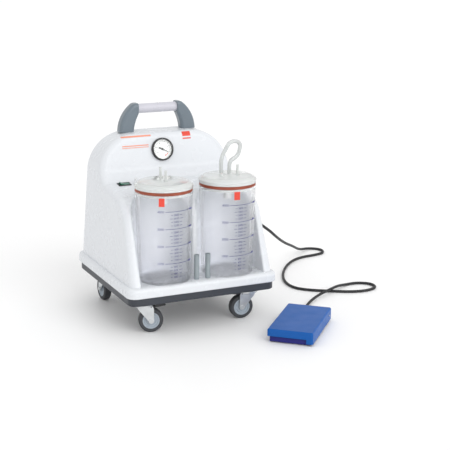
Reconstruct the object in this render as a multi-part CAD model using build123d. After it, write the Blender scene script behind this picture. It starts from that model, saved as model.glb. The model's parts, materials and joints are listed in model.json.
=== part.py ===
from build123d import *
import os
from math import hypot, pi, radians, tan

# Two-jar surgical suction pump on a castor trolley, with a foot switch.  Millimetres.
# Origin: on the floor, midway between the four castors.  +Z is up, the jars face -Y, +X is to the right.

# ---------------------------------------------------------------- driving dimensions
WALL = 4.0                      # moulded plastic wall

# Trolley
TRAY_W, TRAY_D = 476.0, 472.0   # charcoal chassis tray
TRAY_MID_Y = 8.0                # the tray reaches a little further back than forward
TRAY_Z0, TRAY_Z1 = 102.0, 126.0
TRAY_WALL = 3.0
TRAY_CORNER = 26.0
FLANGE_W, FLANGE_D = 490.0, 488.0   # white skirt that overhangs the tray
DECK_Z = 158.0                  # the floor that the jars stand on
FLANGE_CORNER = 30.0

# Hood
HOOD_HALF_FOOT = 234.0          # half width at the tray
HOOD_HALF_TOP = 215.6           # where the sides would meet the top without the arch
HOOD_TOP = 555.0
ARCH_R = 123.0
BACK_FOOT_Y, BACK_TOP_Y = 236.0, 198.0
FACE_FOOT_Y, FACE_TOP_Y = 70.0, 94.0      # tower face at the ledge and at the top
FACE_FOOT_Z = 448.0
LEDGE_BACK_Y, LEDGE_BACK_Z = 44.0, 418.0
LEDGE_FRONT_Y, LEDGE_FRONT_Z = -96.0, 400.0
CHEEK_TOP_Y, CHEEK_TOP_Z = -150.0, 350.0
CHEEK_FOOT_Y = -222.0
FRONT_EDGE_R = 22.0
BACK_EDGE_R = 16.0
SKIRT_TOP_R = 13.0
SKIRT_FOOT_R = 5.0

# Jars
JAR_X, JAR_Y = 104.0, -160.0
JAR_R_FOOT, JAR_R_RIM = 79.0, 86.5
JAR_WALL = 3.0
JAR_FLOOR = 8.0
RIM_Z = 431.0
POCKET_R = 97.0
WEB_R = 5.0
BAY_RIM_R = 5.0
WEB_TIP_Y = -153.0              # how far forward the web between the pockets comes
SEAL_H = 10.0
SEAL_R, SEAL_EDGE_R = 86.0, 1.2
LID_R = 88.0
NIPPLE_R, NIPPLE_BORE = 4.0, 2.5
NIPPLE_H = 32.0

# Handle
ARM_Y0, ARM_Y1 = 135.0, 175.0
ARM_EDGE_R = 11.0
GRIP_Z, GRIP_R = 626.0, 15.0
HANDLE_TOP = 644.0

# Gauge
GAUGE_X, GAUGE_Z = -10.0, 504.0
GAUGE_R, GAUGE_CAN_R, BEZEL_W = 36.0, 29.5, 5.0
NEEDLE_SWEEP_START = -26.6      # needle angle at rest, from +X, seen from the front

# Castors
WHEEL_R, TYRE_W = 37.5, 24.0
HUB_R = 26.0
TRAIL = 22.0
CASTOR_X, CASTOR_Y = 174.0, 164.0
AXLE_R = 4.0
RUN_GAP = 0.05                  # running fit, radial
PLATE_T = 3.0
CASTORS = {                     # place and the way each fork trails
    "front_left": (-1, -1, -14.3),
    "front_right": (1, -1, 173.9),
    "back_left": (-1, 1, 92.0),
    "back_right": (1, 1, 62.0),
}
BRAKED = ("front_left", "front_right")

CROWN_Z0, CROWN_Z1, CROWN_R = 84.0, 91.0, 31.0
KING_R = 5.0
FORK_HALF, FORK_T = 16.5, 2.5
LEVER_Z, LEVER_PIN_R = 81.4, 1.8
BOLT_OUT, BOLT_R = 23.0, 3.0

# Rear cover and mains inlet, in the plane of the hood's back
COVER_Z = 312.0
COVER_W, COVER_H, COVER_T = 290.0, 280.0, 3.0
WINDOW_W, WINDOW_H = 256.0, 246.0
COVER_SCREWS = [(x, y) for x in (-137, 137) for y in (-128, 0, 128)]
SCREW_R = 2.0
LOUVRE_L, LOUVRE_ROWS, LOUVRE_PITCH = 84.0, 9, 13.0
LOUVRE_X, LOUVRE_Y0 = 62.0, -8.0
INLET_X, INLET_Y = 78.0, -88.0
INLET_L, INLET_H = 36.0, 44.0
SOCKET_Y, FUSE_Y = 7.0, -12.0

# Switch, vacuum port and catheter tubes
SWITCH_X, SWITCH_Y = -160.0, 24.0
SWITCH_L, SWITCH_W = 41.0, 27.0
ROCKER_L, ROCKER_W, ROCKER_TILT = 30.0, 17.4, 8.0
PORT_X, PORT_Y, PORT_STEM_R = -123.0, 22.0, 6.0
POST_X, POST_Y = (-17.0, 20.0), -204.0
POST_R, POST_BORE_R, POST_H = 8.0, 6.0, 76.0

# Lid ports, from the lid's centre
NIPPLE = ("nipple", NIPPLE_H)
LOOP_A, LOOP_B = (-17.0, 10.0), (12.0, 12.0)
LOOP_R, LOOP_SPIGOT_H = 6.0, 8.0
LID_PORTS = {
    "left": {(5, 37): NIPPLE, (-2, -21): NIPPLE},
    "right": {(24, -20): NIPPLE, (-26, -14): ("knob", 8.0),
              LOOP_A: ("spigot", LOOP_SPIGOT_H), LOOP_B: ("spigot", LOOP_SPIGOT_H)},
}
LID_PLUG_R = JAR_R_RIM - JAR_WALL - 0.6
FLOAT_TOP, FLOAT_LIFT, FLOAT_STEM_R = -6.0, 8.0, 3.5

# Pump inside the hood
PUMP_Y, PUMP_Z = 80.0, 180.0
MOTOR_X0, MOTOR_X1, MOTOR_R = -75.0, 35.0, 46.0
SHAFT_R = 5.0
BRACKET_Z = 122.0
FAN_BLADES = 7
HOSE_Z, FILTER_IN_Z = 262.0, 335.0

# Foot switch
PEDAL_X, PEDAL_Y = 261.0, -350.0
PEDAL_TURN = 48.0
PEDAL_L, PEDAL_W, PEDAL_H = 257.0, 139.0, 42.0
SKIRT_Z = 20.0
PEDAL_HINGE_X, PEDAL_HINGE_Z = 96.0, 25.0
BASE_REAR_Z, BASE_TOE_Z = 32.0, 17.0
PEDAL_BOSS_X, PEDAL_BOSS_Y = 142.5, 30.0
DEEP_SKIRT_Z, DEEP_RETURN = 6.5, 20.0     # the skirt on the outer side and its short returns
SPRING_X = -70.0
LEAD_Z = 8.0

# Foot-switch lead: the points of its route, from the hood's gland to the foot switch
GLAND_Y, GLAND_Z = -110.7, 294.2        # where the lead leaves the hood's right side
LEAD_D = 9.0
LAID_Z = LEAD_D / 2                      # its centre line where it lies on the floor
LEAD_ROUTE = [
    (252, -97, 274), (291, -79, 247), (342, -27, 209), (404, 50, 168), (466, 129, 131),
    (529, 210, 97), (590, 296, 62), (645, 375, 30), (688, 426, 10), (731, 446, LAID_Z),
    (768, 414, LAID_Z), (753, 368, LAID_Z), (706, 355, LAID_Z), (652, 350, LAID_Z),
    (600, 326, LAID_Z), (546, 274, LAID_Z), (496, 206, LAID_Z), (460, 138, LAID_Z),
    (442, 74, LAID_Z), (448, 20, LAID_Z), (485, -19, LAID_Z), (541, -54, LAID_Z),
    (598, -88, LAID_Z), (655, -98, LAID_Z), (703, -80, LAID_Z), (709, -35, LAID_Z),
    (668, -6, LAID_Z), (618, -11, LAID_Z), (578, -33, 12), (534, -64, 15.5), (478, -89, 12),
    (426, -124, 8), (380.90, -172.01, 8), (334.06, -224.03, 8),
]


# ---------------------------------------------------------------- helpers
def rounded_slab(width, depth, z0, z1, corner):
    return Pos(0, TRAY_MID_Y, z0) * extrude(RectangleRounded(width, depth, corner), z1 - z0)


def tube(radius, bore, height):
    return extrude(Circle(radius) - Circle(bore), height)


def rod(radius, height):
    return extrude(Circle(radius), height)


def save(node, shape):
    shape.label = node
    export_step(shape, f"parts/{node}.step")


def round_corners(face, radii):
    """Rounds the corners of a flat outline: radii maps (a, b) corner positions to a radius."""
    for (a, b), radius in radii.items():
        corner = min(face.vertices(), key=lambda v: hypot(v.X - a, v.Y - b))
        face = fillet(corner, radius)
    return face


# ---------------------------------------------------------------- hood
def front_outline():
    """The hood from the front: slightly tapered sides and two large top arcs."""
    face = make_face(Polyline(
        (-HOOD_HALF_FOOT, TRAY_Z1), (HOOD_HALF_FOOT, TRAY_Z1),
        (HOOD_HALF_TOP, HOOD_TOP), (-HOOD_HALF_TOP, HOOD_TOP), close=True))
    return round_corners(face, {
        (HOOD_HALF_TOP, HOOD_TOP): ARCH_R,
        (-HOOD_HALF_TOP, HOOD_TOP): ARCH_R,
    })


def side_outline():
    """The hood from the side, as (y, z): sloping cheeks, a ledge and the gauge tower."""
    face = make_face(Polyline(
        (CHEEK_FOOT_Y, TRAY_Z1), (CHEEK_FOOT_Y, DECK_Z), (CHEEK_TOP_Y, CHEEK_TOP_Z),
        (LEDGE_FRONT_Y, LEDGE_FRONT_Z), (LEDGE_BACK_Y, LEDGE_BACK_Z),
        (FACE_FOOT_Y, FACE_FOOT_Z), (FACE_TOP_Y, HOOD_TOP), (BACK_TOP_Y, HOOD_TOP),
        (BACK_FOOT_Y, TRAY_Z1), close=True))
    return round_corners(face, {
        (CHEEK_TOP_Y, CHEEK_TOP_Z): 70.0,
        (LEDGE_FRONT_Y, LEDGE_FRONT_Z): 60.0,
        (LEDGE_BACK_Y, LEDGE_BACK_Z): 16.0,
        (FACE_FOOT_Y, FACE_FOOT_Z): 34.0,
    })


def hood_rim(body, nearest_y, furthest_y):
    """The edges that run round the hood's front or back outline, down both sides."""
    edges = []
    for edge in body.edges():
        box = edge.bounding_box()
        across_body = box.size.X > 400
        seam_along_y = box.size.Y > 60 and box.size.Z < 1
        at_foot = box.max.Z < TRAY_Z1 + WALL + 1
        if across_body or seam_along_y or at_foot:
            continue
        if nearest_y < edge.center().Y < furthest_y:
            edges.append(edge)
    return edges


def hood_form(inset):
    """The hood's body without its skirt; inset draws it in by the wall for the cavity."""
    front = front_outline()
    side = side_outline()
    if inset:
        front = offset(front, -inset, kind=Kind.INTERSECTION)
        side = offset(side, -inset, kind=Kind.INTERSECTION)
    body = (extrude(Plane.XZ.location * front, 300, both=True)
            & extrude(Plane.YZ.location * side, 300, both=True))
    body = fillet(hood_rim(body, 150, 300), BACK_EDGE_R - inset)
    body = fillet(hood_rim(body, -300, 120), FRONT_EDGE_R - inset)
    return body - jar_bay(POCKET_R + inset, WEB_TIP_Y + inset)


def jar_bay(radius, tip_y):
    """The space that the two jars stand in: two round pockets, open to the front."""
    z0 = DECK_Z - WALL - 1
    height = HOOD_TOP
    reach = 200.0
    bay = Pos(0, JAR_Y - reach / 2, z0 + height / 2) * Box(2 * (JAR_X + radius), reach, height)
    web_cut = tip_y - JAR_Y
    bay += Pos(0, JAR_Y + web_cut / 2, z0 + height / 2) * Box(2 * JAR_X, web_cut, height)
    for side in (-1, 1):
        bay += Pos(side * JAR_X, JAR_Y, z0) * rod(radius, height)
    return bay


def on_bay_wall(point):
    off_pocket = min(hypot(point.X - side * JAR_X, point.Y - JAR_Y) for side in (-1, 1))
    on_cheek = point.Y <= JAR_Y and abs(abs(point.X) - JAR_X - POCKET_R) < 0.05
    on_web = abs(point.X) < 2 * WEB_R and point.Y < WEB_TIP_Y + WEB_R
    return abs(off_pocket - POCKET_R) < 0.05 or on_cheek or on_web


def soften_bay(hood):
    """Rounds the web between the jars, then the whole rim of the bay."""
    web = [e for e in hood.edges().filter_by(Axis.Z)
           if abs(e.center().Y - WEB_TIP_Y) < 0.05 and abs(e.center().X) < POCKET_R]
    hood = fillet(web, WEB_R)
    rim = [e for e in hood.edges()
           if e.center().Z > DECK_Z + 1
           and max(e.bounding_box().size.X, e.bounding_box().size.Y) > 0.01
           and all(on_bay_wall(e.position_at(t)) for t in (0.1, 0.5, 0.9))]
    return fillet(rim, BAY_RIM_R)


def ledge_plane(x, y):
    slope = (LEDGE_BACK_Z - LEDGE_FRONT_Z) / (LEDGE_BACK_Y - LEDGE_FRONT_Y)
    z = LEDGE_FRONT_Z + (y - LEDGE_FRONT_Y) * slope
    return Plane(origin=(x, y, z), x_dir=(1, 0, 0), z_dir=(0, -slope, 1))


def face_plane(x, z):
    """On the tower's face, with its normal pointing out to the front."""
    lean = (FACE_TOP_Y - FACE_FOOT_Y) / (HOOD_TOP - FACE_FOOT_Z)
    y = FACE_FOOT_Y + (z - FACE_FOOT_Z) * lean
    return Plane(origin=(x, y, z), x_dir=(1, 0, 0), z_dir=(0, -1, lean))


def back_plane(x, z):
    """On the hood's back, with its normal pointing out to the rear."""
    lean = (BACK_FOOT_Y - BACK_TOP_Y) / (HOOD_TOP - TRAY_Z1)
    y = BACK_FOOT_Y - (z - TRAY_Z1) * lean
    return Plane(origin=(x, y, z), x_dir=(-1, 0, 0), z_dir=(0, 1, lean))


def side_plane(y, z):
    """On the hood's right side, with its normal pointing out to the right."""
    lean = (HOOD_HALF_FOOT - HOOD_HALF_TOP) / (HOOD_TOP - TRAY_Z1)
    x = HOOD_HALF_FOOT - (z - TRAY_Z1) * lean
    return Plane(origin=(x, y, z), x_dir=(0, 1, 0), z_dir=(1, 0, lean))


def above_deck(shape, z):
    return shape - Pos(0, 0, z - 100) * Box(700, 700, 200)


def hood_openings():
    """Holes for what is fixed in the hood's walls."""
    cut = face_plane(GAUGE_X, GAUGE_Z).location * Pos(0, 0, -20) * rod(GAUGE_CAN_R + 0.3, 40)
    cut += ledge_plane(SWITCH_X, SWITCH_Y).location * Box(SWITCH_L - 3.4, SWITCH_W - 3.4, 30)
    cut += ledge_plane(PORT_X, PORT_Y).location * Pos(0, 0, -10) * rod(PORT_STEM_R + 0.2, 20)
    window = RectangleRounded(WINDOW_W, WINDOW_H, 8)
    cut += back_plane(0, COVER_Z).location * Pos(0, 0, -20) * extrude(window, 40)
    cut += side_plane(GLAND_Y, GLAND_Z).location * Pos(0, 0, -8) * rod(6.2, 20)
    for x, y in COVER_SCREWS:
        cut += back_plane(0, COVER_Z).location * Pos(x, y, -12) * rod(SCREW_R + 0.05, 20)
    return cut


def hood_shell():
    skirt = rounded_slab(FLANGE_W, FLANGE_D, TRAY_Z1, DECK_Z, FLANGE_CORNER)
    top_rim = [e for e in skirt.edges() if abs(e.center().Z - DECK_Z) < 0.01]
    skirt = fillet(top_rim, SKIRT_TOP_R)
    foot_rim = [e for e in skirt.edges() if abs(e.center().Z - TRAY_Z1) < 0.01]
    skirt = fillet(foot_rim, SKIRT_FOOT_R)
    outer = skirt + soften_bay(above_deck(hood_form(0), DECK_Z))
    inner = above_deck(hood_form(WALL), DECK_Z - WALL)
    inner += rounded_slab(FLANGE_W - 2 * WALL, FLANGE_D - 2 * WALL,
                          TRAY_Z1 + WALL, DECK_Z - WALL, FLANGE_CORNER - WALL)
    inner += rounded_slab(TRAY_W - 4 * TRAY_WALL, TRAY_D - 4 * TRAY_WALL,
                          TRAY_Z1 - 1, TRAY_Z1 + WALL + 1, TRAY_CORNER - TRAY_WALL)
    return outer - inner - hood_openings()


def rear_cover():
    """Flat cover over the rear window, with two banks of louvres and the inlet's cut-out."""
    plate = extrude(RectangleRounded(COVER_W, COVER_H, 12), COVER_T)
    plate = fillet(plate.faces().sort_by(Axis.Z)[-1].edges(), 1.2)
    slot = extrude(SlotOverall(LOUVRE_L, 5), 3 * COVER_T, both=True)
    for bank in (-1, 1):
        for row in range(LOUVRE_ROWS):
            plate -= Pos(bank * LOUVRE_X, LOUVRE_Y0 + row * LOUVRE_PITCH, 0) * slot
    plate -= Pos(INLET_X, INLET_Y, 0) * Box(INLET_L - 6, INLET_H - 6, 20)
    for x, y in COVER_SCREWS:
        plate -= Pos(x, y, -1) * rod(SCREW_R + 0.2, 10)
    return back_plane(0, COVER_Z).location * plate


def cover_screws():
    screw = Pos(0, 0, COVER_T) * (rod(4.0, 2.6) - Pos(0, 0, 1.4) * extrude(RegularPolygon(1.8, 6), 3))
    screw += Pos(0, 0, -8) * rod(SCREW_R, 8 + COVER_T)
    seats = back_plane(0, COVER_Z).location
    return Compound(children=[seats * Pos(x, y, 0) * screw for x, y in COVER_SCREWS])


def mains_inlet():
    """Combined inlet: an earthed three-pin socket above a fuse holder."""
    inlet = Pos(0, 0, COVER_T) * extrude(RectangleRounded(INLET_L, INLET_H, 4), 2.5)
    inlet += Pos(0, 0, -24) * extrude(RectangleRounded(INLET_L - 7, INLET_H - 7, 2), 24 + COVER_T)
    inlet -= Pos(0, SOCKET_Y, -13) * extrude(RectangleRounded(24.5, 16.5, 3), 30)
    inlet -= Pos(0, FUSE_Y, -15) * extrude(Rectangle(26.0, 8.0), 30)
    for x, y in ((-7, 0), (0, 4), (7, 0)):
        inlet += Pos(x, SOCKET_Y + y, -6.5) * Box(2.0, 4.0, 14)
    return back_plane(0, COVER_Z).location * Pos(INLET_X, INLET_Y, 0) * inlet


def fuse_drawer():
    drawer = Pos(0, 0, -14.8) * extrude(Rectangle(25.6, 7.6), 14.8 + COVER_T + 2.0)
    drawer += Pos(0, 0, COVER_T + 1.9) * extrude(SlotOverall(14, 3), 2.2)
    return back_plane(0, COVER_Z).location * Pos(INLET_X, INLET_Y + FUSE_Y, 0) * drawer


# ---------------------------------------------------------------- trolley
def castor_places():
    for name, (side, end, trail_angle) in CASTORS.items():
        yield name, side * CASTOR_X, end * CASTOR_Y, trail_angle


def bolt_places():
    for name, x, y, trail_angle in castor_places():
        for dx in (-BOLT_OUT, BOLT_OUT):
            for dy in (-BOLT_OUT, BOLT_OUT):
                yield x + dx, y + dy


def chassis_tray():
    tray = rounded_slab(TRAY_W, TRAY_D, TRAY_Z0, TRAY_Z1, TRAY_CORNER)
    foot = [e for e in tray.edges() if abs(e.center().Z - TRAY_Z0) < 0.01]
    tray = fillet(foot, 2.4)
    tray -= rounded_slab(TRAY_W - 2 * TRAY_WALL, TRAY_D - 2 * TRAY_WALL,
                         TRAY_Z0 + TRAY_WALL, TRAY_Z1 + 1, TRAY_CORNER - TRAY_WALL)
    for x, y in bolt_places():
        tray -= Pos(x, y, TRAY_Z0 - 1) * rod(BOLT_R + 0.2, 6)
    return tray


def castor_plates():
    """Four fixed castor heads: mounting plate, race and king pin."""
    plate = Pos(0, 0, TRAY_Z0 - PLATE_T) * extrude(RectangleRounded(60, 60, 6), PLATE_T)
    for dx in (-BOLT_OUT, BOLT_OUT):
        for dy in (-BOLT_OUT, BOLT_OUT):
            plate -= Pos(dx, dy, TRAY_Z0 - 2 * PLATE_T) * rod(BOLT_R + 0.2, 3 * PLATE_T)
    race_z = CROWN_Z1 + 0.4
    head = plate + Pos(0, 0, race_z) * rod(20, TRAY_Z0 - PLATE_T - race_z)
    head += Pos(0, 0, CROWN_Z0 - 4) * rod(KING_R, TRAY_Z0 - PLATE_T - CROWN_Z0 + 4)
    head += Pos(0, 0, CROWN_Z0 - 4) * rod(8, 3.6)
    return Compound(children=[Pos(x, y, 0) * head for _, x, y, _ in castor_places()])


def castor_bolts():
    head_z = TRAY_Z0 - PLATE_T - 4
    bolt = Pos(0, 0, head_z) * extrude(RegularPolygon(5.77, 6), 4)
    bolt += Pos(0, 0, head_z + 4) * rod(BOLT_R, 13)
    bolt += Pos(0, 0, TRAY_Z0 + TRAY_WALL) * extrude(RegularPolygon(5.77, 6), 5)
    return Compound(children=[Pos(x, y, 0) * bolt for x, y in bolt_places()])


def castor_fork(braked):
    """Pressed fork with its riveted axle.  Local +X is the way it trails."""
    half = FORK_HALF
    crown = Pos(0, 0, CROWN_Z0) * rod(CROWN_R, CROWN_Z1 - CROWN_Z0)
    crown = fillet(crown.faces().sort_by(Axis.Z)[-1].edges(), 2.5)
    leg = make_face(Polyline((-22, CROWN_Z0 + 3), (25, CROWN_Z0 + 3), (30, 76),
                             (TRAIL + 8.5, WHEEL_R), (TRAIL - 8.5, WHEEL_R), (-16, 74), close=True))
    leg += Pos(TRAIL, WHEEL_R) * Circle(8.5)
    legs = Plane.XZ.location * extrude(leg, half, both=True)
    legs -= Box(200, 2 * (half - FORK_T), 2 * CROWN_Z0)
    fork = crown + legs
    fork -= Pos(0, 0, CROWN_Z0 - 10) * rod(KING_R + RUN_GAP, 40)
    axle = rod(AXLE_R, half) + Pos(0, 0, half - 0.1) * rod(6.5, 2.6)
    for turn in (90, -90):
        fork += Pos(TRAIL, 0, WHEEL_R) * Rot(turn, 0, 0) * axle
    if braked:
        fork -= Pos(TRAIL, 0, LEVER_Z) * Rot(90, 0, 0) * extrude(
            Circle(LEVER_PIN_R + RUN_GAP), 2 * half, both=True)
    return fork


def castor_wheel():
    """Dished nylon hub with a raised ring on each side, bored for the axle."""
    half = TYRE_W / 2 - 1
    one_side = [(AXLE_R + RUN_GAP, half + 0.8), (9, half + 0.8), (10.5, half - 3), (14.5, half - 3),
                (15.5, half - 1.5), (17.5, half - 1.5), (18.5, half - 3), (20.5, half - 3),
                (22.5, half), (HUB_R, half)]
    other_side = [(r, -w) for r, w in reversed(one_side)]
    profile = make_face(Polyline(*one_side, *other_side, close=True))
    return Pos(TRAIL, 0, WHEEL_R) * Rot(90, 0, 0) * revolve(Plane.XZ.location * profile, Axis.Z)


def castor_tyre():
    tyre = Pos(0, 0, -TYRE_W / 2) * rod(WHEEL_R, TYRE_W)
    tyre = fillet(tyre.edges(), 6.0)
    tyre -= Pos(0, 0, -TYRE_W) * rod(HUB_R + RUN_GAP, 2 * TYRE_W)
    return Pos(TRAIL, 0, WHEEL_R) * Rot(90, 0, 0) * tyre


def brake_lever():
    """Foot lever over the wheel, pivoted in the fork's legs."""
    side = make_face(Polyline((17, 79.6), (32, 79.6), (64, 85), (66, 87), (64, 89.5), (34.5, 89.5),
                              (31, 83.0), (17, 83.0), close=True))
    inner = Plane.XZ.location * extrude(side, FORK_HALF - FORK_T - 0.5, both=True)
    wing = Plane.XZ.location * extrude(side, 17, both=True) & Pos(51, 0, 86) * Box(36, 60, 20)
    pin = Pos(TRAIL, 0, LEVER_Z) * Rot(90, 0, 0) * extrude(Circle(LEVER_PIN_R), FORK_HALF, both=True)
    return inner + wing + pin


# ---------------------------------------------------------------- jars and lids
def turned(points):
    return revolve(Plane.XZ.location * make_face(Polyline(*points, close=True)), Axis.Z)


def jar():
    r0, r1 = JAR_R_FOOT, JAR_R_RIM
    inner0, inner1 = r0 - JAR_WALL, r1 - JAR_WALL
    body = turned([(0, 0), (r0 - 3, 0), (r0, 3), (r1, RIM_Z - DECK_Z - 5), (r1 + 1.8, RIM_Z - DECK_Z - 5),
                   (r1 + 1.8, RIM_Z - DECK_Z), (inner1, RIM_Z - DECK_Z), (inner0, JAR_FLOOR), (0, JAR_FLOOR)])
    return Pos(0, 0, DECK_Z) * body


def seal():
    ring = tube(SEAL_R, JAR_R_RIM - JAR_WALL, SEAL_H)
    ring = fillet(ring.edges().filter_by(GeomType.CIRCLE).sort_by(SortBy.RADIUS)[-2:], SEAL_EDGE_R)
    return Pos(0, 0, RIM_Z) * ring


def nipple(height):
    """Plain hose nipple with a rounded lip; stands on z = 0."""
    shank = rod(NIPPLE_R, height)
    return fillet(shank.edges().sort_by(Axis.Z)[-1], 1.0)


def lid(ports):
    """Domed lid: ports maps (x, y) from its centre to the port's (kind, height)."""
    z = SEAL_H
    shell = turned([(0, z + 22), (74, z + 18), (81, z + 15), (LID_R - 1.5, z + 11), (LID_R, z + 9), (LID_R, z),
                    (LID_PLUG_R, z), (LID_PLUG_R, -8), (LID_PLUG_R - 3, -8), (LID_PLUG_R - 3, z + 4),
                    (73, z + 13), (0, z + 18)])
    shell += Pos(0, 0, FLOAT_TOP) * rod(12, z + 19 - FLOAT_TOP)
    for (x, y), (kind, height) in ports.items():
        seat = Pos(x, y, z + 16)
        if kind == "nipple":
            shell += seat * rod(7.0, 5.5)
            shell += seat * nipple(height + 4)
            shell -= Pos(x, y, z + 10) * rod(NIPPLE_BORE, height + 12)
        if kind == "spigot":
            shell += seat * rod(LOOP_R, height + 4)
            shell -= Pos(x, y, z + 10) * rod(LOOP_R - 2, height + 12)
        if kind == "knob":
            shell += seat * fillet(rod(7.0, height + 4).edges().sort_by(Axis.Z)[-1], 3)
    shell -= Pos(0, 0, FLOAT_TOP - 2) * rod(FLOAT_STEM_R + 0.5, 26)
    return Pos(0, 0, RIM_Z) * shell


def overflow_float():
    """Captive float: rises into the lid's seat and shuts the suction port when a jar is full."""
    ball = Pos(0, 0, FLOAT_TOP - FLOAT_LIFT - 30) * rod(11.5, 29.5)
    ball = fillet(ball.edges(), 4)
    return Pos(0, 0, RIM_Z) * (ball + Pos(0, 0, FLOAT_TOP - FLOAT_LIFT - 2) * rod(FLOAT_STEM_R, 14))


def bend_radii(points, share):
    """A radius for each inner corner: a share of the shorter run, over the half turn's tangent."""
    radii = []
    for a, b, c in zip(points, points[1:], points[2:]):
        first, second = Vector(b) - Vector(a), Vector(c) - Vector(b)
        turn = radians(first.get_angle(second))
        radii.append(share * min(first.length, second.length) / tan(turn / 2))
    return radii


def swept_tube(points, radius, share, bore=0.0):
    path = FilletPolyline(*points, radius=bend_radii(points, share))
    start = Vector(points[0])
    section = Plane(origin=start, z_dir=Vector(points[1]) - start) * Circle(radius)
    solid = sweep(section, path=path)
    if bore:
        hole = Plane(origin=start, z_dir=Vector(points[1]) - start) * Circle(bore)
        solid -= sweep(hole, path=path)
    return solid, path


def vent_loop():
    """Soft tube on the right lid, from one spigot up and round to the other."""
    top = RIM_Z + SEAL_H + 16 + LOOP_SPIGOT_H + 4
    ax, bx = JAR_X + LOOP_A[0], JAR_X + LOOP_B[0]
    ay, by = JAR_Y + LOOP_A[1], JAR_Y + LOOP_B[1]
    points = [(ax, ay, top), (ax, ay, top + 42), (ax + 30, ay + 1, top + 92),
              (ax + 68, by, top + 86), (ax + 58, by, top + 44), (bx, by, top + 30), (bx, by, top)]
    return swept_tube(points, LOOP_R, 0.45)[0]


# ---------------------------------------------------------------- handle
def handle_arm(side):
    """Swept-back arm, standing on the hood's top."""
    outline = make_face([
        ThreePointArc((129, HOOD_TOP), (117, 602), (88, 638)),
        ThreePointArc((88, 638), (80, 643), (68, HANDLE_TOP)),
        Line((68, HANDLE_TOP), (66, HANDLE_TOP)),
        Line((66, HANDLE_TOP), (66, 606)),
        ThreePointArc((66, 606), (75, 584), (81, HOOD_TOP)),
        Line((81, HOOD_TOP), (129, HOOD_TOP)),
    ])
    arm = extrude(Plane.XZ.location * outline, ARM_Y1 - ARM_Y0)
    arm = Pos(0, ARM_Y1 if arm.bounding_box().max.Y < 1 else ARM_Y0, 0) * arm
    long_edges = [e for e in arm.edges()
                  if abs(e.bounding_box().size.Y) < 0.1 and e.center().Z > HOOD_TOP + 1
                  and e.center().X > 66.5]
    arm = fillet(long_edges, ARM_EDGE_R)
    return arm if side > 0 else mirror(arm, about=Plane.YZ)


def handle_grip():
    grip = Rot(0, 90, 0) * extrude(Circle(GRIP_R), 66, both=True)
    return Pos(0, (ARM_Y0 + ARM_Y1) / 2, GRIP_Z) * grip


# ---------------------------------------------------------------- gauge and switch
def gauge_case():
    case = Pos(0, 0, -30) * rod(GAUGE_CAN_R, 30) + rod(GAUGE_R, 9.5)
    case = fillet(case.faces().sort_by(Axis.Z)[-1].edges(), 2.4)
    case -= Pos(0, 0, 1.5) * rod(GAUGE_R - BEZEL_W, 10)
    case += Pos(0, 0, -42) * rod(6, 12.5)
    return face_plane(GAUGE_X, GAUGE_Z).location * case


def gauge_dial():
    dial = Pos(0, 0, 1.5) * tube(GAUGE_R - BEZEL_W - 0.2, 1.4, 1.0)
    return face_plane(GAUGE_X, GAUGE_Z).location * dial


def gauge_lens():
    return face_plane(GAUGE_X, GAUGE_Z).location * Pos(0, 0, 6.3) * rod(GAUGE_R - BEZEL_W - 0.1, 1.5)


def gauge_needle():
    blade = make_face(Polyline((-13, -2.6), (-13, 2.6), (6, 1.6), (25, 0.35), (25, -0.35), (6, -1.6),
                               close=True))
    needle = Pos(0, 0, 3.6) * extrude(blade, 0.8) + Pos(0, 0, 3.4) * rod(3.6, 1.6)
    needle += Pos(0, 0, 1.6) * rod(1.2, 2.5)
    return face_plane(GAUGE_X, GAUGE_Z).location * Rot(0, 0, NEEDLE_SWEEP_START) * needle


def switch_frame():
    frame = extrude(RectangleRounded(SWITCH_L, SWITCH_W, 2.5), 2.2)
    frame = fillet(frame.faces().sort_by(Axis.Z)[-1].edges(), 1.0)
    frame += Pos(0, 0, -20) * extrude(Rectangle(SWITCH_L - 4, SWITCH_W - 4), 20)
    frame -= Pos(0, 0, -14) * extrude(Rectangle(ROCKER_L + 3.0, ROCKER_W + 0.6), 30)
    for side in (-1, 1):
        frame -= Pos(0, side * (ROCKER_W / 2 + 0.3), -1) * Rot(90, 0, 0) * extrude(
            Circle(1.5 + RUN_GAP), 1.4, both=True)
    return ledge_plane(SWITCH_X, SWITCH_Y).location * frame


def switch_rocker():
    half = ROCKER_L / 2
    side = make_face(Polyline((-half, 4.6), (0, 2.4), (half, 4.6), (half - 4, -8), (4 - half, -8),
                              close=True))
    rocker = Plane.XZ.location * extrude(side, ROCKER_W / 2, both=True)
    rocker += Pos(0, 0, -1) * Rot(90, 0, 0) * extrude(Circle(1.5), ROCKER_W / 2 + 1.2, both=True)
    tilt = Pos(0, 0, -1) * Rot(0, ROCKER_TILT, 0) * Pos(0, 0, 1)
    return ledge_plane(SWITCH_X, SWITCH_Y).location * tilt * rocker


def vacuum_port():
    """Hose nipple on the ledge, fed by the filter below it."""
    port = rod(7.5, 3) + nipple(18)
    port += Pos(0, 0, -24) * rod(PORT_STEM_R, 24)
    port -= Pos(0, 0, -30) * rod(2.2, 60)
    return ledge_plane(PORT_X, PORT_Y).location * port


def catheter_tube():
    """Tube on the deck that keeps a suction catheter upright; open at the top."""
    post = fillet(rod(POST_R, POST_H).edges().sort_by(Axis.Z)[-1], 1.2)
    return Pos(0, 0, DECK_Z) * (post - Pos(0, 0, 5) * rod(POST_BORE_R, POST_H))


# ---------------------------------------------------------------- pump inside the hood
def rubber_mounts():
    mount = Pos(0, 0, TRAY_Z0 + TRAY_WALL) * rod(11, BRACKET_Z - TRAY_Z0 - TRAY_WALL)
    places = [(x, y) for x in (-80, 80) for y in (20, 130)]
    return Compound(children=[Pos(x, y, 0) * mount for x, y in places])


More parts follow.
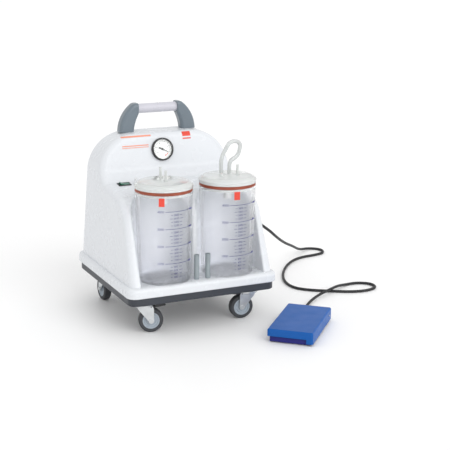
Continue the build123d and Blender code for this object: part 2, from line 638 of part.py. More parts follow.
def pump_bracket():
    bracket = Pos(0, PUMP_Y, BRACKET_Z + 2) * Box(200, 140, 4)
    for x in (MOTOR_X0 - 2, MOTOR_X1 + 2):
        ear = Pos(x, PUMP_Y, BRACKET_Z + 38) * Box(4, 104, 76)
        bracket += ear
    shaft_way = Pos(0, PUMP_Y, PUMP_Z) * Rot(0, 90, 0) * extrude(Circle(14), 200, both=True)
    return bracket - shaft_way


def pump_motor():
    motor = Pos((MOTOR_X0 + MOTOR_X1) / 2, PUMP_Y, PUMP_Z) * Rot(0, 90, 0) * extrude(
        Circle(MOTOR_R), (MOTOR_X1 - MOTOR_X0) / 2, both=True)
    bore = Pos(0, PUMP_Y, PUMP_Z) * Rot(0, 90, 0) * extrude(Circle(SHAFT_R + RUN_GAP), 200, both=True)
    return motor - bore


def motor_shaft():
    """Shaft right through the motor: fan at one end, eccentric at the other."""
    shaft = Pos(MOTOR_X0 - 44, PUMP_Y, PUMP_Z) * Rot(0, 90, 0) * rod(SHAFT_R, MOTOR_X1 - MOTOR_X0 + 44 + 34)
    return shaft + Pos(MOTOR_X1 + 18, PUMP_Y, PUMP_Z + 5) * Rot(0, 90, 0) * rod(14, 10)


def cooling_fan():
    fan = tube(11, SHAFT_R + RUN_GAP, 16)
    for blade in range(FAN_BLADES):
        turn = Rot(0, 0, blade * 360 / FAN_BLADES)
        fan += turn * Pos(26, 0, 8) * Rot(28, 0, 0) * Box(34, 2.0, 14)
    return Pos(MOTOR_X0 - 40, PUMP_Y, PUMP_Z) * Rot(0, 90, 0) * fan


def pump_cylinder():
    """Crankcase and cylinder of the piston pump, with its outlet nipple."""
    x0 = MOTOR_X1 + 4
    case = Pos(x0 + 25, PUMP_Y, PUMP_Z) * Box(50, 80, 84)
    case = fillet(case.edges().filter_by(Axis.X), 8)
    case += Pos(x0 + 25, PUMP_Y, PUMP_Z + 42) * rod(24, 46)
    for fin in range(4):
        case += Pos(x0 + 25, PUMP_Y, PUMP_Z + 50 + 9 * fin) * rod(30, 3)
    case -= Pos(x0 + 6, PUMP_Y, PUMP_Z) * Rot(0, 90, 0) * rod(30, 38)
    case -= Pos(x0 - 1, PUMP_Y, PUMP_Z) * Rot(0, 90, 0) * rod(SHAFT_R + 1, 20)
    return case + Pos(x0 + 2, PUMP_Y, HOSE_Z) * Rot(0, -90, 0) * rod(5, 10)


def line_filter():
    """Hydrophobic filter under the vacuum port."""
    port_foot = ledge_plane(PORT_X, PORT_Y).location * Pos(0, 0, -24)
    body = Pos(0, 0, -70) * rod(24, 60) + Pos(0, 0, -10) * rod(5, 10)
    body = port_foot * body
    foot = port_foot.position
    return body + Pos(foot.X + 18, foot.Y + 6, FILTER_IN_Z) * Rot(0, 90, 0) * rod(5, 14)


def vacuum_hose():
    foot = (ledge_plane(PORT_X, PORT_Y).location * Pos(0, 0, -24)).position
    start = (MOTOR_X1 - 4, PUMP_Y, HOSE_Z)
    end = (foot.X + 32, foot.Y + 6, FILTER_IN_Z)
    points = [start, (start[0] - 34, PUMP_Y, HOSE_Z), (end[0] + 34, end[1], FILTER_IN_Z), end]
    return swept_tube(points, 6.0, 0.45)[0]


# ---------------------------------------------------------------- foot switch
def pedal_frame():
    return Location((PEDAL_X, PEDAL_Y, 0), (0, 0, PEDAL_TURN))


def pedal_base():
    """Wedge-shaped tray: high at the hinge end, low at the toe."""
    half, wide = PEDAL_L / 2 - 6, PEDAL_W - 12
    wedge = make_face(Polyline((-half, 3), (half, 3), (half, BASE_REAR_Z), (-half, BASE_TOE_Z), close=True))
    base = Plane.XZ.location * extrude(wedge, wide / 2, both=True)
    base = fillet(base.edges().filter_by(Axis.Z), 5)
    hollow = Pos(0, 0, 6 + 25) * Box(2 * half - 6, wide - 6, 50)
    base -= hollow
    base += Pos(half - 1, PEDAL_BOSS_Y, LEAD_Z) * Rot(0, 90, 0) * rod(7, PEDAL_BOSS_X - half + 1)
    base -= pedal_hinge_hole()
    return base


def pedal_hinge_hole():
    hole = extrude(Circle(3 + RUN_GAP), PEDAL_W, both=True)
    return Pos(PEDAL_HINGE_X, 0, PEDAL_HINGE_Z) * Rot(90, 0, 0) * hole


def pedal_treadle():
    top = extrude(RectangleRounded(PEDAL_L, PEDAL_W, 6), PEDAL_H - SKIRT_Z)
    top = fillet(top.faces().sort_by(Axis.Z)[-1].edges(), 5)
    drop = SKIRT_Z - DEEP_SKIRT_Z
    deep = Pos(0, 0, -drop) * extrude(RectangleRounded(PEDAL_L, PEDAL_W, 6), drop + 1)
    top += deep & Pos(0, (DEEP_RETURN - PEDAL_W) / 2, 0) * Box(PEDAL_L, DEEP_RETURN, 4 * drop)
    hollow = Rectangle(PEDAL_L - 6, PEDAL_W - 6)
    top -= Pos(0, 0, -drop - 1) * extrude(hollow, PEDAL_H - DEEP_SKIRT_Z - 2)
    return Pos(0, 0, SKIRT_Z) * top - pedal_hinge_hole()


def pedal_pin():
    pin = extrude(Circle(3), PEDAL_W / 2 + 1.5, both=True)
    return Pos(PEDAL_HINGE_X, 0, PEDAL_HINGE_Z) * Rot(90, 0, 0) * pin


def pedal_spring():
    wire = 1.0
    z0, z1 = 6 + wire + 0.1, PEDAL_H - 3 - wire - 0.1
    coil = Helix(pitch=(z1 - z0) / 4.5, height=z1 - z0, radius=8)
    section = Plane(origin=coil @ 0, z_dir=coil % 0) * Circle(wire)
    return Pos(SPRING_X, 0, z0) * sweep(section, path=coil, is_frenet=True)


def pedal_switch():
    body = Pos(0, 0, 6 + 8) * Box(28, 11, 16)
    return Pos(10, 0, 0) * (body + Pos(-6, 0, 22) * Box(4, 5, 3))


def pedal_feet():
    foot = fillet(rod(8, 3).edges().sort_by(Axis.Z)[0], 0.8)
    places = [(x, y) for x in (-108, 108) for y in (-50, 50)]
    return Compound(children=[pedal_frame() * Pos(x, y, 0) * foot for x, y in places])


# ---------------------------------------------------------------- lead
def lead_gland():
    """Rubber strain relief on the hood's right side, turned towards the lead's first run."""
    wall = side_plane(GLAND_Y, GLAND_Z)
    end = Vector(LEAD_ROUTE[0])
    run = Vector(LEAD_ROUTE[1]) - end
    reach = (end - wall.origin).length
    sleeve = Plane(origin=end, z_dir=run).location * Pos(0, 0, -reach / 2) * Cone(8.0, 5.4, reach)
    outside = wall.location * Pos(0, 0, 50) * Box(100, 100, 100)
    sleeve = (sleeve & outside) + wall.location * rod(12, 4)
    return sleeve + wall.location * Pos(0, 0, -7) * rod(6, 8)


def foot_switch_lead():
    solid, path = swept_tube(LEAD_ROUTE, LEAD_D / 2, 0.45)
    ideal = pi * (LEAD_D / 2) ** 2 * path.length
    print("lead radii", [round(r) for r in bend_radii(LEAD_ROUTE, 0.45)])
    print("lead length", round(path.length), "volume ratio", round(solid.volume / ideal, 4))
    return solid


# ---------------------------------------------------------------- the whole object
def build():
    os.makedirs("parts", exist_ok=True)
    save("hood_shell", hood_shell())
    save("rear_cover", rear_cover())
    save("cover_screws", cover_screws())
    save("mains_inlet", mains_inlet())
    save("fuse_drawer", fuse_drawer())
    save("chassis_tray", chassis_tray())
    save("castor_plates", castor_plates())
    save("castor_bolts", castor_bolts())
    for name, x, y, trail_angle in castor_places():
        place = Pos(x, y, 0) * Rot(0, 0, trail_angle)
        save(f"castor_fork_{name}", place * castor_fork(name in BRAKED))
        save(f"castor_wheel_{name}", place * castor_wheel())
        save(f"castor_tyre_{name}", place * castor_tyre())
        if name in BRAKED:
            save(f"brake_lever_{name}", place * brake_lever())
    for name, side in (("left", -1), ("right", 1)):
        place = Pos(side * JAR_X, JAR_Y, 0)
        save(f"jar_{name}", place * jar())
        save(f"jar_seal_{name}", place * seal())
        save(f"jar_lid_{name}", place * lid(LID_PORTS[name]))
        save(f"overflow_float_{name}", place * overflow_float())
        save(f"handle_arm_{name}", handle_arm(side))
    save("vent_loop", vent_loop())
    save("handle_grip", handle_grip())
    for name, x in (("left", POST_X[0]), ("right", POST_X[1])):
        save(f"catheter_tube_{name}", Pos(x, POST_Y, 0) * catheter_tube())
    save("gauge_case", gauge_case())
    save("gauge_dial", gauge_dial())
    save("gauge_lens", gauge_lens())
    save("gauge_needle", gauge_needle())
    save("switch_frame", switch_frame())
    save("switch_rocker", switch_rocker())
    save("vacuum_port", vacuum_port())
    save("rubber_mounts", rubber_mounts())
    save("pump_bracket", pump_bracket())
    save("pump_motor", pump_motor())
    save("motor_shaft", motor_shaft())
    save("cooling_fan", cooling_fan())
    save("pump_cylinder", pump_cylinder())
    save("line_filter", line_filter())
    save("vacuum_hose", vacuum_hose())
    for name, shape in (("pedal_base", pedal_base()), ("pedal_treadle", pedal_treadle()),
                        ("pedal_pin", pedal_pin()), ("pedal_spring", pedal_spring()),
                        ("pedal_switch", pedal_switch())):
        save(name, pedal_frame() * shape)
    save("pedal_feet", pedal_feet())
    save("lead_gland", lead_gland())
    save("foot_switch_lead", foot_switch_lead())


if __name__ == "__main__":
    build()
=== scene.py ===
import json
from math import cos, radians, sin

import bpy
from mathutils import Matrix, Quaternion, Vector
from mathutils.bvhtree import BVHTree


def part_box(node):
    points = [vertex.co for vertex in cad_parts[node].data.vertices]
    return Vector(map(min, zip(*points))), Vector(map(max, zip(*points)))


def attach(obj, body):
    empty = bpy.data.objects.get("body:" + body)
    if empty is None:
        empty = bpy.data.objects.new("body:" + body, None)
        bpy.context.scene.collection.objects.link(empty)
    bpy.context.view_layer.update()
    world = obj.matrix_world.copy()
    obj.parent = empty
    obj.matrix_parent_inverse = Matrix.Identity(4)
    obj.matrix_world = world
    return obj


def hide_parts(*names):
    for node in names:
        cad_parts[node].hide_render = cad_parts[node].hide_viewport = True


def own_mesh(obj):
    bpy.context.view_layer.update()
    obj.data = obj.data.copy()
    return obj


# Two-jar suction pump on castors with a foot switch: looks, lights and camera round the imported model.
# Metres, Z up, the jars face -Y.

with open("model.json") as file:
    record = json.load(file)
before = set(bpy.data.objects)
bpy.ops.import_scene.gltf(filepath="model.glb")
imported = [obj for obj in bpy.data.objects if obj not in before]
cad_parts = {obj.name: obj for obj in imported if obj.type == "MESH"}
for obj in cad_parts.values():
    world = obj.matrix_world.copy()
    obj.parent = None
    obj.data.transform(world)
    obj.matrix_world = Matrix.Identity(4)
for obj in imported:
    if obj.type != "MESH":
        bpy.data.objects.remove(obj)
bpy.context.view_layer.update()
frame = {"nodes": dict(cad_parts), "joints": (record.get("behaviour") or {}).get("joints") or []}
NODES = frame["nodes"]
JOINTS = {joint["name"]: joint for joint in frame["joints"]}
MM = 0.001
CASTORS = ("front_left", "front_right", "back_left", "back_right")
SIDES = ("left", "right")

# ---------------------------------------------------------------- camera
CAMERA_AT = Vector((-1.4072, -3.3609, 1.2156))
CAMERA_TARGET = Vector((0.1723, 0.0, 0.2578))
CAMERA_ROLL = radians(0.4)
CAMERA_LENS = 95.7              # for a 36 mm sensor


def make_camera():
    data = bpy.data.cameras.new("view")
    data.lens = CAMERA_LENS
    camera = bpy.data.objects.new("view", data)
    bpy.context.scene.collection.objects.link(camera)
    camera.location = CAMERA_AT
    camera.rotation_mode = "QUATERNION"
    aim = (CAMERA_AT - CAMERA_TARGET).to_track_quat("Z", "Y")
    camera.rotation_quaternion = aim @ Quaternion((0, 0, 1), CAMERA_ROLL)
    bpy.context.scene.camera = camera


# ---------------------------------------------------------------- node helpers
FINE_DETAIL = 3.0               # noise octaves for roughness and bump; colour takes fewer


class Material:
    """A Principled material whose colour, roughness and bump come from object-space noise."""

    def __init__(self, name):
        self.data = bpy.data.materials.new(name)
        self.data.use_nodes = True
        self.tree = self.data.node_tree
        self.shader = self.tree.nodes["Principled BSDF"]
        self.place = self.tree.nodes.new("ShaderNodeTexCoord").outputs["Object"]

    def node(self, kind, **values):
        made = self.tree.nodes.new(kind)
        for key, value in values.items():
            if hasattr(made, key):
                setattr(made, key, value)
            else:
                made.inputs[key.replace("_", " ").title()].default_value = value
        return made

    def link(self, source, target):
        self.tree.links.new(source, target)

    def noise(self, scale, detail=2.0):
        made = self.node("ShaderNodeTexNoise", scale=scale, detail=detail)
        self.link(self.place, made.inputs["Vector"])
        return made.outputs["Fac"]

    def spread(self, source, low, high, clip=(0.3, 0.7)):
        made = self.node("ShaderNodeMapRange")
        made.inputs["From Min"].default_value, made.inputs["From Max"].default_value = clip
        made.inputs["To Min"].default_value, made.inputs["To Max"].default_value = low, high
        self.link(source, made.inputs["Value"])
        return made.outputs["Result"]

    def blend_colours(self, factor, first, second):
        made = self.node("ShaderNodeMix", data_type="RGBA")
        for socket in made.inputs:
            if socket.name == "A" and socket.type == "RGBA":
                socket.default_value = (*first, 1)
            if socket.name == "B" and socket.type == "RGBA":
                socket.default_value = (*second, 1)
        self.link(factor, made.inputs["Factor"])
        return next(o for o in made.outputs if o.type == "RGBA")

    def mottle(self, colour, amount, scale):
        """Colour that drifts a little either side of its mean."""
        dark = [c * (1 - amount) for c in colour]
        light = [min(1, c * (1 + amount)) for c in colour]
        tone = self.spread(self.noise(scale), 0, 1)
        self.link(self.blend_colours(tone, dark, light), self.shader.inputs["Base Color"])
        return self

    def gloss(self, roughness, variation, scale):
        low, high = roughness - variation, roughness + variation
        source = self.spread(self.noise(scale, FINE_DETAIL), low, high)
        self.link(source, self.shader.inputs["Roughness"])
        return self

    def grain(self, scale, depth, strength):
        bump = self.node("ShaderNodeBump")
        bump.inputs["Strength"].default_value = strength
        bump.inputs["Distance"].default_value = depth
        self.link(self.noise(scale, FINE_DETAIL), bump.inputs["Height"])
        self.link(bump.outputs["Normal"], self.shader.inputs["Normal"])
        return self

    def set(self, **values):
        for key, value in values.items():
            self.shader.inputs[key.replace("_", " ")].default_value = value
        return self


def plastic(name, colour, roughness=0.35, mottle=0.03, grain_depth=0.00005, grain_scale=1400):
    made = Material(name).mottle(colour, mottle, 9).gloss(roughness, 0.04, 30)
    return made.grain(grain_scale, grain_depth, 0.25).set(IOR=1.48)


def rubber(name, colour):
    made = Material(name).mottle(colour, 0.12, 35).gloss(0.62, 0.08, 60)
    return made.grain(1800, 0.00008, 0.45)


def metal(name, colour, roughness):
    made = Material(name).mottle(colour, 0.06, 60).gloss(roughness, 0.07, 140)
    return made.grain(700, 0.00003, 0.2).set(Metallic=1.0)


def clear(name, tint, roughness=0.03, ior=1.42, transmission=1.0):
    """Clear plastic that lets lamp light straight through, so what is behind it is lit."""
    made = Material(name).mottle(tint, 0.015, 12).gloss(roughness, 0.012, 40)
    made.set(IOR=ior, Transmission_Weight=transmission, Coat_Weight=0.6, Coat_Roughness=0.04)
    through = made.node("ShaderNodeBsdfTransparent")
    through.inputs["Color"].default_value = (*tint, 1)
    rays = made.node("ShaderNodeLightPath")
    mix = made.node("ShaderNodeMixShader")
    output = made.tree.nodes["Material Output"]
    made.link(rays.outputs["Is Shadow Ray"], mix.inputs["Fac"])
    made.link(made.shader.outputs["BSDF"], mix.inputs[1])
    made.link(through.outputs["BSDF"], mix.inputs[2])
    made.link(mix.outputs["Shader"], output.inputs["Surface"])
    return made


# ---------------------------------------------------------------- materials
# plastic: name, colour, roughness, mottle, grain depth in metres, grain scale
# clear: name, tint, roughness, index of refraction, transmission
PEDAL_IOR = 1.30                # less mirror-like than the other plastics
LOOKS = {
    "hood": plastic("hood_white", (0.700, 0.722, 0.752), 0.26, 0.008, 0.000015, 160),
    "tray": plastic("tray_charcoal", (0.032, 0.037, 0.048), 0.42, 0.08, 0.00012, 900),
    "arms": plastic("handle_blue_grey", (0.150, 0.185, 0.215), 0.14, 0.05, 0.00005, 200),
    "grip": plastic("grip_pale", (0.56, 0.555, 0.61), 0.30, 0.03, 0.00010, 300),
    "seal": rubber("seal_terracotta", (0.29, 0.062, 0.030)),
    "jar": clear("jar_clear", (0.984, 0.982, 1.0), 0.03, 1.12).set(Alpha=0.45),
    "lid": clear("lid_milky", (0.84, 0.86, 0.85), 0.20, 1.35, 0.50),
    "float": plastic("float_white", (0.78, 0.79, 0.80), 0.4),
    "tube": clear("tube_silicone", (0.70, 0.72, 0.715), 0.20, 1.35, 0.45),
    "post": plastic("post_grey", (0.27, 0.31, 0.33), 0.30, 0.06),
    "cover": plastic("cover_grey", (0.50, 0.51, 0.52), 0.45, 0.04, 0.00010, 900),
    "black": plastic("satin_black", (0.018, 0.018, 0.020), 0.35, 0.15),
    "rocker": plastic("rocker_green", (0.020, 0.130, 0.075), 0.22, 0.08),
    "dial": plastic("dial_white", (0.84, 0.84, 0.82), 0.40, 0.01),
    "lens": clear("gauge_window", (0.97, 0.98, 0.98), 0.02, 1.10),
    "needle": plastic("needle_black", (0.015, 0.015, 0.018), 0.4, 0.1),
    "chrome": metal("plated_steel", (0.62, 0.64, 0.65), 0.40),
    "steel": metal("zinc_steel", (0.55, 0.55, 0.56), 0.32),
    "alloy": metal("cast_alloy", (0.58, 0.59, 0.60), 0.48),
    "tyre": rubber("tyre_grey", (0.045, 0.048, 0.054)),
    "hub": plastic("hub_blue_grey", (0.36, 0.41, 0.46), 0.38, 0.05),
    "rubber": rubber("rubber_black", (0.020, 0.020, 0.022)),
    "motor": plastic("motor_enamel", (0.20, 0.22, 0.24), 0.38, 0.08),
    "cable": rubber("cable_jacket", (0.016, 0.016, 0.018)).set(IOR=1.5),
    "gland": rubber("gland_grey", (0.22, 0.22, 0.23)),
    "pedal": plastic("pedal_blue", (0.006, 0.095, 0.370), 0.40, 0.07, 0.00012, 900),
    # pedal_base: the treadle's blue plastic painted darker and more violet, as painted shade for the
    # base recessed under the treadle
    "pedal_base": plastic("pedal_blue_painted_shade", (0.022, 0.022, 0.180), 0.42, 0.07, 0.00012, 900),
    "print_blue": plastic("print_blue", (0.012, 0.016, 0.19), 0.5, 0.05),
    "print_red": plastic("print_red", (0.72, 0.060, 0.035), 0.45, 0.05),
    "print_coral": plastic("print_coral", (0.82, 0.30, 0.20), 0.45, 0.05),
    "print_grey": plastic("print_grey", (0.10, 0.10, 0.11), 0.5, 0.05),
}
for pedal_look in ("pedal", "pedal_base"):
    LOOKS[pedal_look].set(IOR=PEDAL_IOR)
NODE_LOOKS = {
    "hood_shell": "hood", "rear_cover": "cover", "cover_screws": "steel", "mains_inlet": "black",
    "fuse_drawer": "black", "chassis_tray": "tray", "castor_plates": "chrome",
    "castor_bolts": "steel", "handle_arm_left": "arms", "handle_arm_right": "arms",
    "handle_grip": "grip", "catheter_tube_left": "post", "catheter_tube_right": "post",
    "gauge_case": "black", "gauge_dial": "dial", "gauge_lens": "lens", "gauge_needle": "needle",
    "switch_frame": "black", "switch_rocker": "rocker", "vacuum_port": "float",
    "rubber_mounts": "rubber", "pump_bracket": "cover", "pump_motor": "motor",
    "motor_shaft": "steel", "cooling_fan": "black", "pump_cylinder": "alloy",
    "line_filter": "float", "vacuum_hose": "tube", "pedal_base": "pedal_base",
    "pedal_treadle": "pedal", "pedal_pin": "steel", "pedal_spring": "steel",
    "pedal_switch": "black", "pedal_feet": "rubber", "lead_gland": "gland",
    "foot_switch_lead": "cable", "vent_loop": "tube",
}
for side in SIDES:
    NODE_LOOKS[f"jar_{side}"] = "jar"
    NODE_LOOKS[f"jar_lid_{side}"] = "lid"
    NODE_LOOKS[f"jar_seal_{side}"] = "seal"
    NODE_LOOKS[f"overflow_float_{side}"] = "float"
for castor in CASTORS:
    NODE_LOOKS[f"castor_fork_{castor}"] = "chrome"
    NODE_LOOKS[f"castor_wheel_{castor}"] = "hub"
    NODE_LOOKS[f"castor_tyre_{castor}"] = "tyre"
for castor in CASTORS[:2]:
    NODE_LOOKS[f"brake_lever_{castor}"] = "black"


def dress(piece, look):
    piece.data.materials.clear()
    piece.data.materials.append(LOOKS[look].data)


def dress_nodes():
    for node, piece in NODES.items():
        dress(piece, NODE_LOOKS[node])


# ---------------------------------------------------------------- new pieces
def add_piece(name, data, body, look):
    piece = bpy.data.objects.new(name, data)
    bpy.context.scene.collection.objects.link(piece)
    dress(piece, look)
    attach(piece, body)
    return piece


# Foot-switch lead: the route's points, the same as in part.py
LEAD_D = 9.0
LAID_Z = LEAD_D / 2
LEAD_ROUTE = [
    (252, -97, 274), (291, -79, 247), (342, -27, 209), (404, 50, 168), (466, 129, 131),
    (529, 210, 97), (590, 296, 62), (645, 375, 30), (688, 426, 10), (731, 446, LAID_Z),
    (768, 414, LAID_Z), (753, 368, LAID_Z), (706, 355, LAID_Z), (652, 350, LAID_Z),
    (600, 326, LAID_Z), (546, 274, LAID_Z), (496, 206, LAID_Z), (460, 138, LAID_Z),
    (442, 74, LAID_Z), (448, 20, LAID_Z), (485, -19, LAID_Z), (541, -54, LAID_Z),
    (598, -88, LAID_Z), (655, -98, LAID_Z), (703, -80, LAID_Z), (709, -35, LAID_Z),
    (668, -6, LAID_Z), (618, -11, LAID_Z), (578, -33, 12), (534, -64, 15.5), (478, -89, 12),
    (426, -124, 8), (380.90, -172.01, 8), (334.06, -224.03, 8),
]


def make_lead():
    data = bpy.data.curves.new("lead", "CURVE")
    data.dimensions = "3D"
    data.bevel_depth = LEAD_D / 2 * MM
    data.bevel_resolution = 6
    data.resolution_u = 12
    data.use_fill_caps = True
    spline = data.splines.new("NURBS")
    spline.points.add(len(LEAD_ROUTE) - 1)
    for point, place in zip(spline.points, LEAD_ROUTE):
        point.co = (*[c * MM for c in place], 1)
    spline.order_u = 3
    spline.use_endpoint_u = True
    lead = add_piece("lead", data, "base", "cable")
    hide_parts("foot_switch_lead")


def make_spring():
    """A copy of the CAD coil with a mesh of its own, fixed to the base."""
    coil = add_piece("return_spring", NODES["pedal_spring"].data.copy(), "base", "steel")
    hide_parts("pedal_spring")
    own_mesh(coil)


# ---------------------------------------------------------------- flat prints
class Print:
    """Collects flat shapes as (x, y) outlines in metres and lays them on a surface."""

    def __init__(self, to_surface):
        self.to_surface = to_surface
        self.points = []
        self.faces = []

    def strip(self, x0, x1, y0, y1, pieces=8):
        first = len(self.points)
        for i in range(pieces + 1):
            x = x0 + (x1 - x0) * i / pieces
            self.points += [self.to_surface(x, y0), self.to_surface(x, y1)]
        for i in range(pieces):
            a = first + 2 * i
            self.faces.append((a, a + 2, a + 3, a + 1))

    def patch(self, x0, x1, y0, y1, columns, rows):
        """A rectangle in small cells, so that it follows a curved surface."""
        first = len(self.points)
        for row in range(rows + 1):
            for column in range(columns + 1):
                self.points.append(self.to_surface(x0 + (x1 - x0) * column / columns,
                                                   y0 + (y1 - y0) * row / rows))
        for row in range(rows):
            for column in range(columns):
                a = first + row * (columns + 1) + column
                self.faces.append((a, a + 1, a + columns + 2, a + columns + 1))

    def arc(self, radius, width, start, end, pieces=48):
        first = len(self.points)
        for i in range(pieces + 1):
            turn = start + (end - start) * i / pieces
            for r in (radius - width / 2, radius + width / 2):
                self.points.append(self.to_surface(r * cos(turn), r * sin(turn)))
        for i in range(pieces):
            a = first + 2 * i
            self.faces.append((a, a + 1, a + 3, a + 2))

    def ray(self, turn, r0, r1, width):
        across = Vector((-sin(turn), cos(turn))) * width / 2
        along = Vector((cos(turn), sin(turn)))
        corners = (along * r0 - across, along * r1 - across, along * r1 + across, along * r0 + across)
        first = len(self.points)
        self.points += [self.to_surface(c.x, c.y) for c in corners]
        self.faces.append(tuple(range(first, first + 4)))

    def number(self, words, x, y, size):
        data = bpy.data.curves.new("number", "FONT")
        data.body = words
        data.size = size
        data.align_x = data.align_y = "CENTER"
        data.resolution_u = 3
        holder = bpy.data.objects.new("number", data)
        flat = bpy.data.meshes.new_from_object(holder)
        first = len(self.points)
        self.points += [self.to_surface(x + v.co.x, y + v.co.y) for v in flat.vertices]
        self.faces += [tuple(first + i for i in face.vertices) for face in flat.polygons]
        bpy.data.objects.remove(holder)
        bpy.data.curves.remove(data)
        bpy.data.meshes.remove(flat)

    def mesh(self, name):
        data = bpy.data.meshes.new(name)
        data.from_pydata([tuple(p) for p in self.points], [], self.faces)
        return data


# ---------------------------------------------------------------- jar marks
JAR_FOOT_R, JAR_RIM_R = 79 * MM, 86.5 * MM
MARK_R = 81 * MM                # radius that turns an angle round the jar into a distance
LITRES = 4
LITRE_Z = 52.6 * MM             # between two numbered lines
TOP_LINE_Z = 225.9 * MM         # of the highest line, above the jar's foot
PRINT_LIFT = 0.25 * MM          # off the surface a print lies on
STEPS = 5                       # short lines divide each litre
MAJOR_HALF, MINOR_HALF, END_HALF = 0.7 * MM, 0.6 * MM, 2.2 * MM
MAJOR_SPAN, END_SPAN, NUMBER_AT = (-20, 50), (40, 54), -30      # degrees round the jar
MAJOR_TEXT, MINOR_TEXT = 10 * MM, 8.5 * MM
TAG_TOP, TAG_H = 6 * MM, 25 * MM
TAG_SPANS = {"left": (-34, -22), "right": (-12, 1)}             # degrees round the jar


def jar_surface(side):
    """Maps (distance round the jar from its front, height) to a point just outside its wall."""
    low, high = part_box(f"jar_{side}")
    cx, cy = (low.x + high.x) / 2, (low.y + high.y) / 2

    def place(x, z):
        share = (z - low.z) / (high.z - low.z)
        r = JAR_FOOT_R + (JAR_RIM_R - JAR_FOOT_R) * share + PRINT_LIFT
        turn = x / r
        return cx + r * sin(turn), cy - r * cos(turn), z

    return place


def round_jar(degrees):
    return radians(degrees) * MARK_R


def litre_lines(scale, z, full):
    """One numbered line, with its end block and the short lines under it."""
    scale.strip(*map(round_jar, MAJOR_SPAN), z - MAJOR_HALF, z + MAJOR_HALF, 24)
    scale.strip(*map(round_jar, END_SPAN), z - END_HALF, z + END_HALF)
    scale.number(str(full), round_jar(NUMBER_AT), z, MAJOR_TEXT)
    for step in range(1, STEPS):
        y = z - step * LITRE_Z / STEPS
        reach = 15 if step == 2 else 11
        for x0, x1 in ((-reach, -6), (16, reach + 14)):
            scale.strip(x0 * MM, x1 * MM, y - MINOR_HALF, y + MINOR_HALF, 6)
        scale.number(str(full - step * 1000 // STEPS), 5 * MM, y, MINOR_TEXT)


def jar_marks(side):
    """Graduations from 200 to 4000 ml, and a plain red tag under the rim."""
    low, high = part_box(f"jar_{side}")
    scale = Print(jar_surface(side))
    for litre in range(LITRES):
        litre_lines(scale, low.z + TOP_LINE_Z - litre * LITRE_Z, (LITRES - litre) * 1000)
    add_piece(f"jar_scale_{side}", scale.mesh(f"jar_scale_{side}"), f"jar_{side}", "print_blue")
    tag = Print(jar_surface(side))
    rim = high.z - TAG_TOP
    tag.strip(*map(round_jar, TAG_SPANS[side]), rim - TAG_H, rim)
    add_piece(f"jar_tag_{side}", tag.mesh(f"jar_tag_{side}"), f"jar_{side}", "print_red")


# ---------------------------------------------------------------- gauge face
SCALE_START, SCALE_SWEEP = radians(-26.6), radians(233)
SCALE_R, SCALE_LINE = 24.5 * MM, 0.5 * MM
SCALE_STEPS = 50
LONG_MARK_EVERY = 5
LONG_MARK_R, LONG_MARK_W = 28.5 * MM, 0.6 * MM
SHORT_MARK_R, SHORT_MARK_W = 26.8 * MM, 0.3 * MM
FIGURE_R, FIGURE_SIZE = 19.5 * MM, 5.0 * MM
RED_ARC_R, RED_ARC_W = 22.0 * MM, 2.6 * MM
RED_ARC_FROM, RED_ARC_TO = radians(-72), radians(-34)
MARKS_LIFT, RED_ARC_LIFT = 2.62 * MM, 2.60 * MM       # above the needle's pivot, on the dial


def gauge_surface(lift):
    joint = JOINTS["gauge_needle_turn"]
    normal = Vector(joint["axis"])
    right = Vector((1, 0, 0))
    up = normal.cross(right)
    origin = Vector(joint["pos_m"]) + normal * lift

    def place(x, y):
        return origin + right * x + up * y

    return place


def gauge_face():
    """A scale from 0 to 100 with a red arc at its end."""
    marks = Print(gauge_surface(MARKS_LIFT))
    marks.arc(SCALE_R, SCALE_LINE, SCALE_START, SCALE_START + SCALE_SWEEP)
    for step in range(SCALE_STEPS + 1):
        turn = SCALE_START + SCALE_SWEEP * step / SCALE_STEPS
        if step % LONG_MARK_EVERY == 0:
            marks.ray(turn, SCALE_R, LONG_MARK_R, LONG_MARK_W)
        else:
            marks.ray(turn, SCALE_R, SHORT_MARK_R, SHORT_MARK_W)
    for tenth in range(0, 11, 2):
        turn = SCALE_START + SCALE_SWEEP * tenth / 10
        marks.number(str(tenth * 10), FIGURE_R * cos(turn), FIGURE_R * sin(turn), FIGURE_SIZE)
    add_piece("gauge_marks", marks.mesh("gauge_marks"), "base", "print_grey")
    arc = Print(gauge_surface(RED_ARC_LIFT))
    arc.arc(RED_ARC_R, RED_ARC_W, RED_ARC_FROM, RED_ARC_TO, 16)
    add_piece("gauge_red_arc", arc.mesh("gauge_red_arc"), "base", "print_red")


# ---------------------------------------------------------------- plain marks on the hood
# Millimetres on the tower's face, from the gauge's centre: left, right, middle height, width
HOOD_STRIPES = ((-130, -33, 46, 5.0), (-132, -44, 17, 3.2), (-132, -44, 11, 2.2))
# left, right, bottom, top, rows
HOOD_PATCHES = ((73, 101, 36, 51, 8), (73, 101, 27, 31, 3))
RAY_START = 100 * MM            # in front of the face


def hood_surface():
    """Maps a place on the tower's face, from the gauge's centre, to a point just off the hood."""
    data = NODES["hood_shell"].data
    hood = BVHTree.FromPolygons([v.co for v in data.vertices], [f.vertices[:] for f in data.polygons])
    flat = gauge_surface(RAY_START)
    normal = Vector(JOINTS["gauge_needle_turn"]["axis"])

    def place(x, y):
        spot, facing, _, _ = hood.ray_cast(flat(x, y), -normal)
        return spot + facing * PRINT_LIFT

    return place


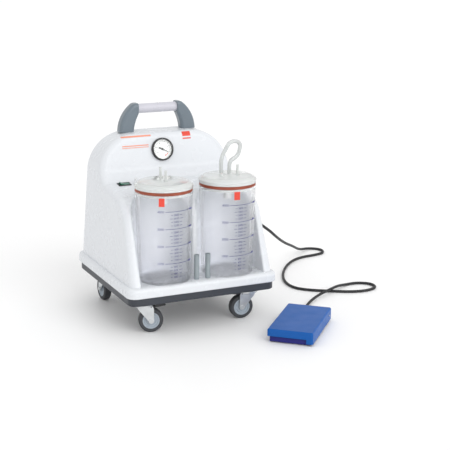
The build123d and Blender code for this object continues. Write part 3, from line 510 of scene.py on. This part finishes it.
def hood_marks():
    """Three plain stripes, and a plain red patch over a red line."""
    stripes = Print(hood_surface())
    for x0, x1, y, width in HOOD_STRIPES:
        stripes.patch(x0 * MM, x1 * MM, (y - width / 2) * MM, (y + width / 2) * MM, 24, 3)
    add_piece("hood_stripes", stripes.mesh("hood_stripes"), "base", "print_coral")
    patch = Print(hood_surface())
    for x0, x1, y0, y1, rows in HOOD_PATCHES:
        patch.patch(x0 * MM, x1 * MM, y0 * MM, y1 * MM, 10, rows)
    add_piece("hood_patch", patch.mesh("hood_patch"), "base", "print_red")


# ---------------------------------------------------------------- light and floor
FLOOR_HALF = 40.0
FLOOR_DROP = 0.4 * MM           # keeps the floor from sharing a plane with the tyres and feet
FLOOR_COLOUR = (0.965, 0.965, 0.965)
SKY_STRENGTH = 0.93
SUN_FROM = (0.18, -0.84, 0.51)
SUN_STRENGTH, SUN_SPREAD = 1.05, radians(50)


def make_stage():
    mesh = bpy.data.meshes.new("floor")
    half = FLOOR_HALF
    mesh.from_pydata([(-half, -half, 0), (half, -half, 0), (half, half, 0), (-half, half, 0)], [],
                     [(0, 1, 2, 3)])
    floor = bpy.data.objects.new("floor", mesh)
    bpy.context.scene.collection.objects.link(floor)
    look = Material("floor_pale").mottle(FLOOR_COLOUR, 0.008, 0.8).gloss(0.55, 0.04, 2)
    floor.data.materials.append(look.data)
    floor.location.z = -FLOOR_DROP


def sun(name, towards, strength, spread):
    """A broad, even light from one direction, like a large studio soft box."""
    data = bpy.data.lights.new(name, "SUN")
    data.energy = strength
    data.angle = spread
    light = bpy.data.objects.new(name, data)
    bpy.context.scene.collection.objects.link(light)
    light.rotation_mode = "QUATERNION"
    light.rotation_quaternion = Vector(towards).to_track_quat("Z", "Y")


def make_light():
    world = bpy.data.worlds.new("studio")
    bpy.context.scene.world = world
    world.use_nodes = True
    world.node_tree.nodes["Background"].inputs["Color"].default_value = (1.0, 1.0, 1.0, 1)
    world.node_tree.nodes["Background"].inputs["Strength"].default_value = SKY_STRENGTH
    sun("key", SUN_FROM, SUN_STRENGTH, SUN_SPREAD)
    bpy.context.scene.view_settings.view_transform = "Standard"


# ---------------------------------------------------------------- build
make_camera()
make_lead()
make_spring()
dress_nodes()
for side in SIDES:
    jar_marks(side)
gauge_face()
hood_marks()
make_stage()
make_light()
